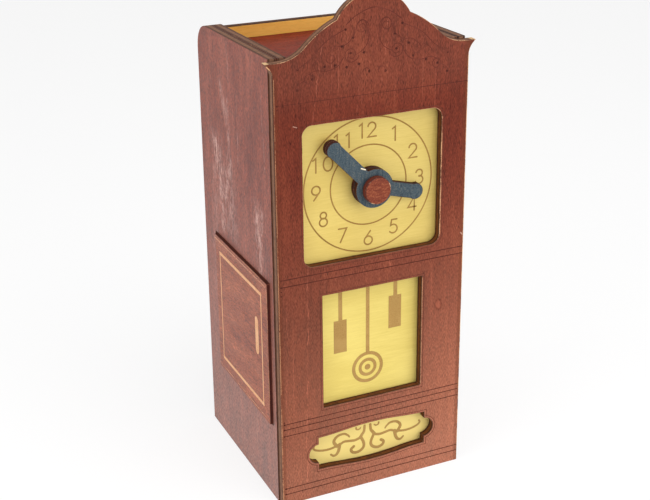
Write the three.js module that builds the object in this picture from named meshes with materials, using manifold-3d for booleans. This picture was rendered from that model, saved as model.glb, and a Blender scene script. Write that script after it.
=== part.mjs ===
// Clock diversion safe: a small tower clock of laser-cut plywood with a locked compartment.
// Units are millimetres. X runs to the right seen from the front, Y to the back, Z up.
// The origin is the middle of the underside. The dial looks towards -Y, the door is on -X.
//
// How it works: each hand turns a ring behind the dial. A fence pin on a sliding lock bar
// lies inside both rings. When the gates of both rings point down, the bar drops, the pin
// leaves through the gates and the finger of the bar clears the hook of the door. Lifting the
// bar by its pull and turning a hand locks the door again.

import * as THREE from 'three';
import { mergeVertices } from 'three/addons/utils/BufferGeometryUtils.js';
import Module from 'manifold-3d';

const wasm = await Module();
wasm.setup();

// Sheet material and clearances
const SHEET = 3.2; // plywood of the case
const FIT = 0.3; // between pieces that are glued or rest together
const RUN = 0.5; // between pieces that slide or turn past each other
const CUT_PAST = 1; // cutting shapes run past the sheet by this

// Case
const BODY_W = 75; // over the outer side panels
const BODY_D = 73.4; // front face to the rear edges of the sides
const FRONT_INSET = 0.3; // front panel edge inside the outer side face
const TRAY_DEPTH = 9.4; // top of the sides at the front down to the tray floor
const BACK_RISE = 4.8; // top of the back panel above the tray floor
const SIDE_SLOPE = 0.033; // fall of the side's top edge for each millimetre towards the back
const SIDE_CORNER = 9; // radius of the side's upper rear corner
const CORNER_STEPS = 9; // straight steps round that corner

// Door and doorway in the left side
const DOOR_SILL_Z = 30.9; // lower edge of the doorway
const DOORWAY_H = 57.7;
const DOOR_FRONT_MARGIN = 6.7; // front face to the doorway
const DOOR_REAR_MARGIN = 11.5; // doorway to the rear edge of the side
const DOOR_GAP = 0.5; // between the leaf and the doorway
const DOOR_PROUD = 1.1; // leaf stands out of the side by this
const REBATE = 4.2; // inner doorway is smaller by this all round
const BACKING_GAP = 0.9; // between the door backing and the inner doorway
const HINGE_SETBACK = 1; // hinge axis inside the outer side face
const LEAF_END_R = 2.1; // round rear end of the leaf, about the hinge axis
const HINGE_PIN_R = 0.5;
const HINGE_BORE_R = 0.7;
const HINGE_PIN_BITE = 5; // length of each pin in the leaf and in the side
const BUMPER_R = 1.2;

// Shelves
const SHELF_OVER_DOOR = 1; // doorway's upper edge to the middle shelf
const TAB_L = 14; // tabs that hold the shelves in the inner sides
const TAB_INSET = 10; // tab to the end of the shelf
const DIVIDER_TOP_GAP = 0.3;

// Lock: rings, gates, fence pin and lock bar
const DISC_T = 2.4; // discs that carry the rings
const RING_R = 20;
const RING_WALL = 4;
const GATE_HALF = 2.4;
const FENCE_R = 1.5;
const FENCE_IN_CLEAR = 1.1; // fence pin to the inside of the ring when locked
const FENCE_OUT_CLEAR = 0.9; // fence pin to the outside of the ring when free
const FENCE_FLOOR_CLEAR = 4.2; // fence pin above the middle shelf when free
const FENCE_END_GAP = 0.3; // ends of the fence pin inside the rings
const STEM_HALF = 6.5; // half width of the lock bar
const BAR_OVER_FENCE = 3.5; // top of the bar above the fence pin
const RAIL_GAP = 1.3; // between the shaft and the rails that pass it
const ARM_H = 6; // arm that reaches for the door
const ARM_UNDER_LIP = 3.2; // below the hook's lip when locked
const FINGER_W = 3.4;
const FINGER_SIDE_GAP = 0.8;
const HOOK_FOOT_T = 2.4;
const HOOK_FOOT_DROP = 16; // height of the hook's glued foot
const HOOK_ARM_H = 3.2;
const HOOK_LIP_W = 2.6;
const HOOK_LIP_DROP = 4.5;
const HOOK_TOP_BELOW_SHELF = 11.6;
const FINGER_TOP_GAP = 0.5; // finger under the hook's arm when locked
const TAIL_Z = 24; // lower end of the lock bar at rest
const GUIDE_Z = 26;
const GUIDE_H = 16;
const GUIDE_W = 7;
const PULL_HALF_W = 9;
const PULL_HALF_D = 5;

// Hands, knob and shafts
const HAND_T = 2;
const KNOB_T = 2.5;
const KNOB_R = 5;
const HUB_R = 7.2;
const BLADE_W = 5.4;
const TIP_SWELL = 0.3; // round tip's radius over half the blade
const MINUTE_L = 23.2; // axis to the middle of the round tip
const HOUR_L = 18.1;
const MINUTE_ANGLE = -43.4; // degrees clockwise from twelve, as the hands stand
const HOUR_ANGLE = 104.9;
const SHAFT_R = 2;
const TUBE_R = 4;
const TUBE_BORE_R = 2.6;
const COLLAR_R = 5;
const COLLAR_T = 2;

// Openings in the front panel
const DIAL_HALF_H = 26;
const DIAL_STILE = 10.6; // front panel beside the dial window, from the outer side face
const DIAL_CORNER = 3.6;
const PENDULUM_SILL_Z = 37.5;
const PENDULUM_H = 45.4;
const PENDULUM_STILE = 17.4;
const PLAQUE_Z = 18.5;
const PLAQUE_STILE = 15.3; // to the square corners of the plaque opening
const PLAQUE_HALF_H = 6.7;
const PLAQUE_CROWN = 1.3; // rise of the long edges at the middle
const PLAQUE_EDGE_PULL = 8.9; // length of the curve's handle at each square corner
const PLAQUE_CROWN_PULL = 10; // and on each side of the middle
const PLAQUE_END_R = 3.9;
const PLATE_MARGIN = 5.2; // plates reach past their openings
const PARTING_UNDER_SHELF = 0.7; // between the dial's plate and the pendulum's

// Crest of the front panel
const FRIEZE_H = 23.8; // dial window to the top of the sides
const EAR_REACH = 2.7; // ears beyond the panel's edge
const EAR_FOOT_DROP = 5.3; // below the top of the sides
const EAR_TIP_DROP = 0.8;
const EAR_BEND_OUT = 0.3; // the ear's hollow lower edge is drawn through a point this far out
const EAR_BEND_DROP = 2.1; // and this far below the tip
const OGEE_FOOT_INSET = 1.2; // where the ogee leaves the ear, in from the panel's edge
const OGEE_TURN_INSET = 11.7; // where it turns from hollow to round, at 45 degrees
const OGEE_TURN_RISE = 4.2; // above its foot
const ARCH_R = 15.6;
const ARCH_CENTRE_RISE = 4.2; // above the top of the sides
const CUSP_INSET = 1.8; // arch's end where the ogee meets it, in from the arch's radius
const CUSP_SLOPE = 0.42; // fall of the ogee as it leaves the arch

// Levels across, from the middle
const outerX = BODY_W / 2;
const innerPanelOut = outerX - SHEET - FIT; // outer face of the inner side
const innerPanelIn = innerPanelOut - SHEET; // inner face of the inner side
const roomHalf = innerPanelIn - FIT; // boards between the inner sides

// Levels from front to back
const frontY = -BODY_D / 2;
const rearY = BODY_D / 2;
const sideFrontY = frontY + SHEET + FIT; // also the face of the coloured plates
const plateRearY = sideFrontY + SHEET;
const backFrontY = rearY - FIT - SHEET;
const boardRearY = backFrontY - FIT;
const boardFrontY = plateRearY + FIT;

// Levels of the movement, from front to back
const hourDiscY = plateRearY + RUN;
const hourRingY = hourDiscY + DISC_T + FIT;
const barY = hourRingY + SHEET + RUN;
const minuteRingY = barY + SHEET + RUN;
const minuteDiscY = minuteRingY + SHEET + FIT;
const movementY = minuteDiscY + DISC_T + RUN;
const collarY = movementY + SHEET + RUN;
const hourHandY = sideFrontY - FIT - HAND_T;
const minuteHandY = hourHandY - FIT - HAND_T;
const knobY = minuteHandY - FIT - KNOB_T;
const shaftFrontY = minuteHandY;
const shaftRearY = collarY + COLLAR_T;

// Door, from the doorway
const doorwayTopZ = DOOR_SILL_Z + DOORWAY_H;
const doorwayFrontY = frontY + DOOR_FRONT_MARGIN;
const doorwayRearY = rearY - DOOR_REAR_MARGIN;
const hingeX = -(outerX - HINGE_SETBACK);
const hingeY = doorwayRearY - DOOR_GAP - LEAF_END_R;
const leafOutX = -(outerX + DOOR_PROUD);
const leafInX = leafOutX + SHEET;
const leafFrontY = doorwayFrontY + DOOR_GAP;
const leafSillZ = DOOR_SILL_Z + DOOR_GAP;
const leafTopZ = doorwayTopZ - DOOR_GAP;
const backingOutX = leafInX + FIT;
const backingInX = backingOutX + SHEET;

// Heights, chained upwards from the doorway
const shelfZ = doorwayTopZ + SHELF_OVER_DOOR;
const shelfTopZ = shelfZ + SHEET;
const fenceFreeR = RING_R + FENCE_OUT_CLEAR + FENCE_R; // fence pin centre from the dial axis
const fenceLockedR = RING_R - RING_WALL - FENCE_IN_CLEAR - FENCE_R;
const barTravel = fenceFreeR - fenceLockedR;
const dialZ = shelfTopZ + FENCE_FLOOR_CLEAR + FENCE_R + fenceFreeR;
const sideH = dialZ + DIAL_HALF_H + FRIEZE_H;
const trayTopZ = sideH - TRAY_DEPTH;
const trayZ = trayTopZ - SHEET;
const backTopZ = trayTopZ + BACK_RISE;

// Colours of the materials
const STAINED = { color: 0x824634, roughness: 0.62, metalness: 0 };
const SIDE_STAINED = { color: 0x8e5349, roughness: 0.62, metalness: 0 };
const YELLOW = { color: 0xd9bf62, roughness: 0.55, metalness: 0 };
const BARE = { color: 0xd79b49, roughness: 0.7, metalness: 0 };
const BLUE = { color: 0x465f78, roughness: 0.6, metalness: 0 };
const KNOB_RED = { color: 0x964b3c, roughness: 0.6, metalness: 0 };
const PALE = { color: 0xc49a68, roughness: 0.7, metalness: 0 };
const DOWEL = { color: 0xcaa878, roughness: 0.65, metalness: 0 };
const STEEL = { color: 0xb5b5b0, roughness: 0.35, metalness: 1 };
const FELT = { color: 0x3a3230, roughness: 0.95, metalness: 0 };

// Turns of an extruded outline: upright facing the front, upright along a side, or lying
const FACING = new THREE.Quaternion().setFromEuler(new THREE.Euler(Math.PI / 2, 0, 0));
const ALONG = new THREE.Quaternion(0.5, 0.5, 0.5, 0.5);

const safe = new THREE.Group();

// A named mesh in a group
function piece(name, geometry, look, parent = safe) {
  const mesh = new THREE.Mesh(geometry, new THREE.MeshStandardMaterial(look));
  mesh.name = name;
  parent.add(mesh);
  return mesh;
}

// Closed solid of a geometry
function solidOf(geometry) {
  const bare = geometry.clone();
  bare.deleteAttribute('normal');
  bare.deleteAttribute('uv');
  const merged = mergeVertices(bare, 1e-5);
  const vertProperties = Float32Array.from(merged.attributes.position.array);
  const triVerts = Uint32Array.from(merged.index.array);
  return new wasm.Manifold(new wasm.Mesh({ numProp: 3, vertProperties, triVerts }));
}

// Geometry with the solids of other geometries cut out of it
function carve(geometry, tools) {
  const body = tools.reduce((left, tool) => left.subtract(solidOf(tool)), solidOf(geometry));
  const mesh = body.getMesh();
  const result = new THREE.BufferGeometry();
  result.setAttribute('position', new THREE.BufferAttribute(mesh.vertProperties, 3));
  result.setIndex(new THREE.BufferAttribute(mesh.triVerts, 1));
  result.computeVertexNormals();
  return result;
}

// An outline given its thickness, with its holes cut right through
function extrude(outline, thickness, curveSegments = 10) {
  const { holes } = outline;
  outline.holes = [];
  const block = new THREE.ExtrudeGeometry(outline, {
    depth: thickness, bevelEnabled: false, curveSegments });
  const plugs = holes.map((hole) => {
    const plug = new THREE.ExtrudeGeometry(new THREE.Shape(hole.getPoints(curveSegments)), {
      depth: thickness + 2 * CUT_PAST, bevelEnabled: false });
    return plug.translate(0, 0, -CUT_PAST);
  });
  return holes.length ? carve(block, plugs) : block;
}

// A sheet whose outline is drawn in x and z, with its front face at y
function facingSheet(name, outline, y, thickness, look, parent = safe, segments = 10) {
  const mesh = piece(name, extrude(outline, thickness, segments), look, parent);
  mesh.quaternion.copy(FACING);
  mesh.position.y = y + thickness;
  return mesh;
}

// A sheet whose outline is drawn in y and z, with its lower x at x
function sideSheet(name, outline, x, thickness, look, parent = safe) {
  const mesh = piece(name, extrude(outline, thickness), look, parent);
  mesh.quaternion.copy(ALONG);
  mesh.position.x = x;
  return mesh;
}

// A lying board whose outline is drawn in x and y, with its underside at z
function lyingSheet(name, outline, z, thickness, look, parent = safe) {
  const mesh = piece(name, extrude(outline, thickness), look, parent);
  mesh.position.z = z;
  return mesh;
}

function trace(points, target = new THREE.Shape()) {
  points.forEach(([a, b], i) => (i ? target.lineTo(a, b) : target.moveTo(a, b)));
  target.closePath();
  return target;
}

function rectangle(a0, b0, a1, b1, target) {
  return trace([[a0, b0], [a1, b0], [a1, b1], [a0, b1]], target);
}

function circle(a, b, radius, target = new THREE.Shape()) {
  target.absarc(a, b, radius, 0, 2 * Math.PI, false);
  return target;
}

function withHoles(outline, ...holes) {
  outline.holes.push(...holes);
  return outline;
}

// Cuts the shape of each tool mesh out of a mesh, wherever they stand
function cut(mesh, tools) {
  mesh.updateWorldMatrix(true, false);
  const inward = mesh.matrixWorld.clone().invert();
  mesh.geometry = carve(mesh.geometry, tools.map((tool) => {
    tool.updateWorldMatrix(true, false);
    return tool.geometry.clone().applyMatrix4(inward.clone().multiply(tool.matrixWorld));
  }));
}

// An upright round bar between two heights
function uprightBar(radius, x, y, z0, z1, sides = 16) {
  const geometry = new THREE.CylinderGeometry(radius, radius, z1 - z0, sides);
  geometry.rotateX(Math.PI / 2);
  const mesh = new THREE.Mesh(geometry);
  mesh.position.set(x, y, (z0 + z1) / 2);
  return mesh;
}

// Height of the side panels at a place between front and back
function sideTopAt(y) {
  const slope = (y - sideFrontY) * SIDE_SLOPE;
  const past = THREE.MathUtils.clamp(y - (rearY - SIDE_CORNER), 0, SIDE_CORNER);
  const round = SIDE_CORNER - Math.sqrt(SIDE_CORNER ** 2 - past ** 2);
  return sideH - slope - round;
}

// Outline of a side panel from its foot round the rear corner to the front
function sideOutline(footZ, y0, y1) {
  const points = [[y0, footZ], [y1, footZ]];
  const cornerStart = rearY - SIDE_CORNER;
  for (let i = 0; i <= CORNER_STEPS; i += 1) {
    const angle = (Math.PI / 2) * (i / CORNER_STEPS);
    const y = cornerStart + (y1 - cornerStart) * Math.cos(angle);
    points.push([y, sideTopAt(y)]);
  }
  points.push([y0, sideTopAt(y0)]);
  return trace(points);
}

// Outer side panels, the left one with the doorway
const doorway = rectangle(doorwayFrontY, DOOR_SILL_Z, doorwayRearY, doorwayTopZ, new THREE.Path());
const outerLeft = sideSheet(
  'outer_side_left', withHoles(sideOutline(0, sideFrontY, rearY), doorway), -outerX, SHEET, SIDE_STAINED);
sideSheet('outer_side_right', sideOutline(0, sideFrontY, rearY), outerX - SHEET, SHEET, SIDE_STAINED);

// Places of the shelf tabs from front to back, and their slots in the inner sides
const tabPlaces = [
  [boardFrontY + TAB_INSET, boardFrontY + TAB_INSET + TAB_L],
  [boardRearY - TAB_INSET - TAB_L, boardRearY - TAB_INSET],
];

function tabSlots(z) {
  return tabPlaces.map(([y0, y1]) => rectangle(
    y0 - FIT, z - FIT, y1 + FIT, z + SHEET + FIT, new THREE.Path()));
}

// Inner side panels stand on the base board
const innerFootZ = SHEET + FIT;
const innerDoorway = rectangle(
  doorwayFrontY + REBATE, DOOR_SILL_Z + REBATE,
  doorwayRearY - REBATE, doorwayTopZ - REBATE, new THREE.Path());
const innerOutline = () => withHoles(
  sideOutline(innerFootZ, sideFrontY, boardRearY), ...tabSlots(shelfZ), ...tabSlots(trayZ));
sideSheet('inner_side_left', withHoles(innerOutline(), innerDoorway), -innerPanelOut, SHEET, STAINED);
sideSheet('inner_side_right', innerOutline(), innerPanelIn, SHEET, STAINED);

// Base board under the inner sides
lyingSheet(
  'base_board', rectangle(-innerPanelOut, sideFrontY, innerPanelOut, boardRearY), 0, SHEET, STAINED);

// Back panel between the outer sides
facingSheet('back_panel', rectangle(-innerPanelOut, 0, innerPanelOut, backTopZ), backFrontY, SHEET, BARE);

// Shelf outline with a tab at each slot
function shelfOutline() {
  const right = tabPlaces.flatMap(([y0, y1]) => [
    [roomHalf, y0], [innerPanelOut, y0], [innerPanelOut, y1], [roomHalf, y1]]);
  const left = [...right].reverse().map(([x, y]) => [-x, y]);
  return trace([
    [-roomHalf, boardFrontY], [roomHalf, boardFrontY], ...right,
    [roomHalf, boardRearY], [-roomHalf, boardRearY], ...left]);
}

// Slot in a shelf for the lock bar
function barSlot(half) {
  return rectangle(-half - RUN, barY - RUN, half + RUN, barY + SHEET + RUN, new THREE.Path());
}

lyingSheet('middle_shelf', withHoles(shelfOutline(), barSlot(STEM_HALF)), shelfZ, SHEET, STAINED);
lyingSheet('tray_floor', withHoles(shelfOutline(), barSlot(STEM_HALF)), trayZ, SHEET, STAINED);

// Board in front of the compartment, which backs the lock bar
const dividerY = barY + SHEET + RUN;
facingSheet('compartment_divider',
  rectangle(-roomHalf, innerFootZ, roomHalf, shelfZ - DIVIDER_TOP_GAP), dividerY, SHEET, PALE);

// Board behind the rings, with the bearing hole of the shaft
facingSheet('movement_plate', withHoles(
  rectangle(-roomHalf, shelfTopZ + FIT, roomHalf, trayZ - FIT),
  circle(0, dialZ, SHAFT_R + FIT, new THREE.Path())), movementY, SHEET, PALE);

// Half of the crest, from the right ear to the cusp, drawn on the front panel's outline
const frontHalf = outerX - FRONT_INSET;
const archZ = sideH + ARCH_CENTRE_RISE;
const cuspHalf = ARCH_R - CUSP_INSET;
const cuspZ = archZ + Math.sqrt(ARCH_R ** 2 - cuspHalf ** 2);

function frontOutline() {
  const shape = new THREE.Shape();
  const earFootZ = sideH - EAR_FOOT_DROP;
  const tip = [frontHalf + EAR_REACH, sideH - EAR_TIP_DROP];
  const bend = [frontHalf + EAR_BEND_OUT, tip[1] - EAR_BEND_DROP];
  const foot = [frontHalf - OGEE_FOOT_INSET, tip[1]];
  const turn = [frontHalf - OGEE_TURN_INSET, foot[1] + OGEE_TURN_RISE];
  const hollow = [turn[0] + OGEE_TURN_RISE, foot[1]];
  const toCusp = cuspZ - turn[1] - CUSP_SLOPE * (turn[0] - cuspHalf);
  const round = [turn[0] - toCusp / (1 - CUSP_SLOPE), turn[1] + toCusp / (1 - CUSP_SLOPE)];
  const cuspAngle = Math.acos(cuspHalf / ARCH_R);
  shape.moveTo(-frontHalf, 0);
  shape.lineTo(frontHalf, 0);
  shape.lineTo(frontHalf, earFootZ);
  shape.quadraticCurveTo(...bend, ...tip);
  shape.lineTo(...foot);
  shape.quadraticCurveTo(...hollow, ...turn);
  shape.quadraticCurveTo(...round, cuspHalf, cuspZ);
  shape.absarc(0, archZ, ARCH_R, cuspAngle, Math.PI - cuspAngle, false);
  shape.quadraticCurveTo(-round[0], round[1], -turn[0], turn[1]);
  shape.quadraticCurveTo(-hollow[0], hollow[1], -foot[0], foot[1]);
  shape.lineTo(-tip[0], tip[1]);
  shape.quadraticCurveTo(-bend[0], bend[1], -frontHalf, earFootZ);
  shape.closePath();
  return shape;
}

// Dial window with round corners
function dialWindow() {
  const half = outerX - DIAL_STILE;
  const a = half - DIAL_CORNER;
  const b = DIAL_HALF_H - DIAL_CORNER;
  const path = new THREE.Path();
  path.absarc(a, dialZ + b, DIAL_CORNER, 0, Math.PI / 2, false);
  path.absarc(-a, dialZ + b, DIAL_CORNER, Math.PI / 2, Math.PI, false);
  path.absarc(-a, dialZ - b, DIAL_CORNER, Math.PI, 1.5 * Math.PI, false);
  path.absarc(a, dialZ - b, DIAL_CORNER, 1.5 * Math.PI, 2 * Math.PI, false);
  path.closePath();
  return path;
}

// Plaque opening: crowned long edges, square corners and half-round ends
function plaqueOpening() {
  const half = outerX - PLAQUE_STILE;
  const pull = half - PLAQUE_EDGE_PULL;
  const path = new THREE.Path();
  path.moveTo(half, PLAQUE_Z + PLAQUE_HALF_H);
  for (const side of [1, -1]) {
    const edge = PLAQUE_Z + side * PLAQUE_HALF_H;
    const crown = edge + side * PLAQUE_CROWN;
    path.bezierCurveTo(side * pull, edge, side * PLAQUE_CROWN_PULL, crown, 0, crown);
    path.bezierCurveTo(-side * PLAQUE_CROWN_PULL, crown, -side * pull, edge, -side * half, edge);
    path.lineTo(-side * half, PLAQUE_Z + side * PLAQUE_END_R);
    const start = side * Math.PI / 2;
    path.absarc(-side * half, PLAQUE_Z, PLAQUE_END_R, start, start + Math.PI, false);
    path.lineTo(-side * half, PLAQUE_Z - side * PLAQUE_HALF_H);
  }
  path.closePath();
  return path;
}

const pendulumHalf = outerX - PENDULUM_STILE;
const pendulumTopZ = PENDULUM_SILL_Z + PENDULUM_H;
const pendulumWindow = rectangle(
  -pendulumHalf, PENDULUM_SILL_Z, pendulumHalf, pendulumTopZ, new THREE.Path());
facingSheet('front_panel', withHoles(frontOutline(), dialWindow(), pendulumWindow, plaqueOpening()),
  frontY, SHEET, STAINED, safe, 14);

// Coloured plates behind the three openings, parted between them
const plaqueTopZ = PLAQUE_Z + PLAQUE_HALF_H + PLAQUE_CROWN;
const plaqueBottomZ = PLAQUE_Z - PLAQUE_HALF_H - PLAQUE_CROWN;
const dialParting = shelfZ - PARTING_UNDER_SHELF;
const pendulumParting = (PENDULUM_SILL_Z + plaqueTopZ) / 2;

facingSheet('dial_plate', withHoles(
  rectangle(-roomHalf, dialParting + FIT / 2, roomHalf, dialZ + DIAL_HALF_H + PLATE_MARGIN),
  circle(0, dialZ, TUBE_R + FIT, new THREE.Path())), sideFrontY, SHEET, YELLOW);
facingSheet('pendulum_plate', rectangle(
  -roomHalf, pendulumParting + FIT / 2, roomHalf, dialParting - FIT / 2), sideFrontY, SHEET, YELLOW);
facingSheet('plaque_plate', rectangle(
  -roomHalf, plaqueBottomZ - PLATE_MARGIN, roomHalf, pendulumParting - FIT / 2), sideFrontY, SHEET, YELLOW);

// Door leaf, drawn from above about the hinge axis, with a round rear end
const door = new THREE.Group();
door.position.set(hingeX, hingeY, 0);
safe.add(door);

function leafOutline() {
  const out = leafOutX - hingeX;
  const inside = leafInX - hingeX;
  const front = leafFrontY - hingeY;
  const shape = new THREE.Shape();
  shape.moveTo(out, front);
  shape.lineTo(inside, front);
  shape.lineTo(inside, Math.sqrt(LEAF_END_R ** 2 - inside ** 2));
  shape.absarc(0, 0, LEAF_END_R, Math.acos(inside / LEAF_END_R), Math.acos(
    Math.max(-1, out / LEAF_END_R)), false);
  shape.lineTo(out, 0);
  shape.closePath();
  return shape;
}

const leaf = lyingSheet('door_leaf', leafOutline(), leafSillZ, leafTopZ - leafSillZ, STAINED, door);

// Backing of the leaf, which fills the inner doorway
const backingFrontY = doorwayFrontY + REBATE + BACKING_GAP;
const backingRearY = doorwayRearY - REBATE - BACKING_GAP;
const backing = sideSheet('door_backing', rectangle(
  backingFrontY, DOOR_SILL_Z + REBATE + BACKING_GAP,
  backingRearY, doorwayTopZ - REBATE - BACKING_GAP), backingOutX, SHEET, PALE, door);
backing.position.sub(door.position);

// Hinge pins in the upper and lower ends of the leaf, with bores in the leaf and the side
function hingePin(name, edgeZ, gapZ, up) {
  const inside = edgeZ - up * HINGE_PIN_BITE;
  const outside = gapZ + up * HINGE_PIN_BITE;
  const [low, high] = [Math.min(inside, outside), Math.max(inside, outside)];
  const pin = uprightBar(HINGE_PIN_R, 0, 0, low + FIT, high - FIT, 12);
  pin.name = name;
  pin.material = new THREE.MeshStandardMaterial(STEEL);
  door.add(pin);
  cut(leaf, [uprightBar(HINGE_BORE_R, hingeX, hingeY, low, high)]);
  cut(outerLeft, [uprightBar(HINGE_BORE_R, hingeX, hingeY, low, high)]);
}

hingePin('hinge_pin_top', leafTopZ, doorwayTopZ, 1);
hingePin('hinge_pin_bottom', leafSillZ, DOOR_SILL_Z, -1);

// Felt dots in the rebate that the closed leaf rests on
const bumperGap = -innerPanelOut - leafInX; // between the leaf and the inner side
const bumperY = doorwayFrontY + REBATE / 2 + DOOR_GAP;
for (const [name, z] of [
  ['door_bumper_top', doorwayTopZ - REBATE / 2 - DOOR_GAP],
  ['door_bumper_bottom', DOOR_SILL_Z + REBATE / 2 + DOOR_GAP]]) {
  sideSheet(name, circle(bumperY, z, BUMPER_R), leafInX + FIT, bumperGap - 2 * FIT, FELT);
}

// Hook of the door, level with the lock bar
const hookTopZ = shelfZ - HOOK_TOP_BELOW_SHELF;
const hookFootX = backingInX + FIT;
const fingerX = hookFootX + HOOK_FOOT_T + FINGER_SIDE_GAP;
const hookLipX = fingerX + FINGER_W + FINGER_SIDE_GAP;
const hookArmZ = hookTopZ - HOOK_ARM_H;
const hook = facingSheet('door_hook', trace([
  [hookFootX, hookTopZ - HOOK_FOOT_DROP], [hookFootX + HOOK_FOOT_T, hookTopZ - HOOK_FOOT_DROP],
  [hookFootX + HOOK_FOOT_T, hookArmZ], [hookLipX, hookArmZ],
  [hookLipX, hookArmZ - HOOK_LIP_DROP], [hookLipX + HOOK_LIP_W, hookArmZ - HOOK_LIP_DROP],
  [hookLipX + HOOK_LIP_W, hookTopZ], [hookFootX, hookTopZ]]), barY, SHEET, PALE, door);
hook.position.sub(door.position);

// Lock bar, drawn at its lowest place: a straight bar, an arm with a finger, and two rails
// that pass the shaft on either side up to the pull
const lock = new THREE.Group();
safe.add(lock);
const fingerTopZ = hookArmZ - FINGER_TOP_GAP - barTravel;
const armTopZ = hookArmZ - HOOK_LIP_DROP - barTravel - ARM_UNDER_LIP;
const pullZ = trayTopZ + FIT;
const fenceZ = dialZ - fenceFreeR;
const barTopZ = fenceZ + FENCE_R + BAR_OVER_FENCE;
facingSheet('lock_bar', withHoles(
  rectangle(-STEM_HALF, TAIL_Z, STEM_HALF, barTopZ),
  circle(0, fenceZ, FENCE_R + FIT, new THREE.Path())), barY, SHEET, PALE, lock);

facingSheet('lock_arm', trace([
  [fingerX, armTopZ - ARM_H], [-STEM_HALF - FIT, armTopZ - ARM_H], [-STEM_HALF - FIT, armTopZ],
  [fingerX + FINGER_W, armTopZ], [fingerX + FINGER_W, fingerTopZ], [fingerX, fingerTopZ]]),
barY, SHEET, PALE, lock);

// Rails, each with its slot in the pull
const railIn = SHAFT_R + RAIL_GAP;
const railSlots = [];
for (const [name, x0, x1] of [
  ['lock_rail_left', -STEM_HALF, -railIn],
  ['lock_rail_right', railIn, STEM_HALF]]) {
  facingSheet(name, rectangle(x0, barTopZ + FIT, x1, pullZ + SHEET), barY, SHEET, PALE, lock);
  railSlots.push(rectangle(x0 - FIT, barY - FIT, x1 + FIT, barY + SHEET + FIT, new THREE.Path()));
}

// A round bar lying from front to back on a given height
function throughBar(name, radius, y0, y1, z, look, parent, bore = 0) {
  const outline = circle(0, z, radius);
  if (bore) outline.holes.push(circle(0, z, bore, new THREE.Path()));
  return facingSheet(name, outline, y0, y1 - y0, look, parent, 24);
}

// Fence pin through the lock bar, inside both rings when the bar is up
throughBar('fence_pin', FENCE_R, hourRingY + FENCE_END_GAP, minuteRingY + SHEET - FENCE_END_GAP,
  fenceZ, DOWEL, lock);

// Pull on the rails, which rests on the tray floor behind the crest
const barMidY = barY + SHEET / 2;
lyingSheet('lock_pull', withHoles(
  rectangle(-PULL_HALF_W, barMidY - PULL_HALF_D, PULL_HALF_W, barMidY + PULL_HALF_D),
  ...railSlots), pullZ, SHEET, PALE, lock);

// Guides of the tail on the divider, with a keeper across them
const guideIn = STEM_HALF + RUN;
for (const [name, side] of [['bar_guide_left', -1], ['bar_guide_right', 1]]) {
  facingSheet(name, rectangle(
    Math.min(side * guideIn, side * (guideIn + GUIDE_W)), GUIDE_Z,
    Math.max(side * guideIn, side * (guideIn + GUIDE_W)), GUIDE_Z + GUIDE_H),
  dividerY - FIT - SHEET, SHEET, PALE);
}
facingSheet('bar_keeper', rectangle(
  -guideIn - GUIDE_W, GUIDE_Z, guideIn + GUIDE_W, GUIDE_Z + GUIDE_H),
barY - RUN - SHEET, SHEET, PALE);

// Hand with a round hub, a blade and a round tip, drawn pointing up and turned clockwise
function handOutline(length, angle, bore) {
  const shape = new THREE.Shape();
  const half = BLADE_W / 2;
  const hubAngle = Math.asin(half / HUB_R);
  const tipR = half + TIP_SWELL;
  const tipAngle = Math.asin(half / tipR);
  const turn = -THREE.MathUtils.degToRad(angle);
  const tip = new THREE.Vector2(0, length).rotateAround(new THREE.Vector2(), turn);
  const up = Math.PI / 2 + turn;
  shape.absarc(0, dialZ, HUB_R, up + hubAngle, up - hubAngle + 2 * Math.PI, false);
  shape.absarc(tip.x, dialZ + tip.y, tipR, up - Math.PI + tipAngle, up + Math.PI - tipAngle, false);
  shape.closePath();
  return withHoles(shape, circle(0, dialZ, bore, new THREE.Path()));
}

// Disc that carries a ring
function discOutline(bore) {
  return withHoles(circle(0, dialZ, RING_R), circle(0, dialZ, bore, new THREE.Path()));
}

// Ring with its gate at the bottom, as the hands stand
function ringOutline() {
  const inner = RING_R - RING_WALL;
  const outerGate = Math.asin(GATE_HALF / RING_R);
  const innerGate = Math.asin(GATE_HALF / inner);
  const down = -Math.PI / 2;
  const shape = new THREE.Shape();
  shape.absarc(0, dialZ, RING_R, down + outerGate, down - outerGate + 2 * Math.PI, false);
  shape.absarc(0, dialZ, inner, down - innerGate, down + innerGate - 2 * Math.PI, true);
  shape.closePath();
  return shape;
}

// Hour hand, its tube through the dial, its disc and ring
const hour = new THREE.Group();
safe.add(hour);
facingSheet('hour_hand', handOutline(HOUR_L, HOUR_ANGLE, TUBE_R + FIT), hourHandY, HAND_T, BLUE, hour, 14);
throughBar('hour_tube', TUBE_R, hourHandY, hourDiscY + DISC_T, dialZ, DOWEL, hour, TUBE_BORE_R);
facingSheet('hour_disc', discOutline(TUBE_R + FIT), hourDiscY, DISC_T, PALE, hour, 20);
facingSheet('hour_ring', ringOutline(), hourRingY, SHEET, PALE, hour, 36);

// Minute hand with its knob, the shaft through the tube, its disc, ring and collar
const minute = new THREE.Group();
safe.add(minute);
throughBar('knob', KNOB_R, knobY, knobY + KNOB_T, dialZ, KNOB_RED, minute);
facingSheet('minute_hand', handOutline(MINUTE_L, MINUTE_ANGLE, SHAFT_R + FIT),
  minuteHandY, HAND_T, BLUE, minute, 14);
throughBar('minute_shaft', SHAFT_R, shaftFrontY, shaftRearY, dialZ, DOWEL, minute);
facingSheet('minute_ring', ringOutline(), minuteRingY, SHEET, PALE, minute, 36);
facingSheet('minute_disc', discOutline(SHAFT_R + FIT), minuteDiscY, DISC_T, PALE, minute, 20);
throughBar('shaft_collar', COLLAR_R, collarY, collarY + COLLAR_T, dialZ, PALE, minute, SHAFT_R + FIT);

export default safe;
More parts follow.
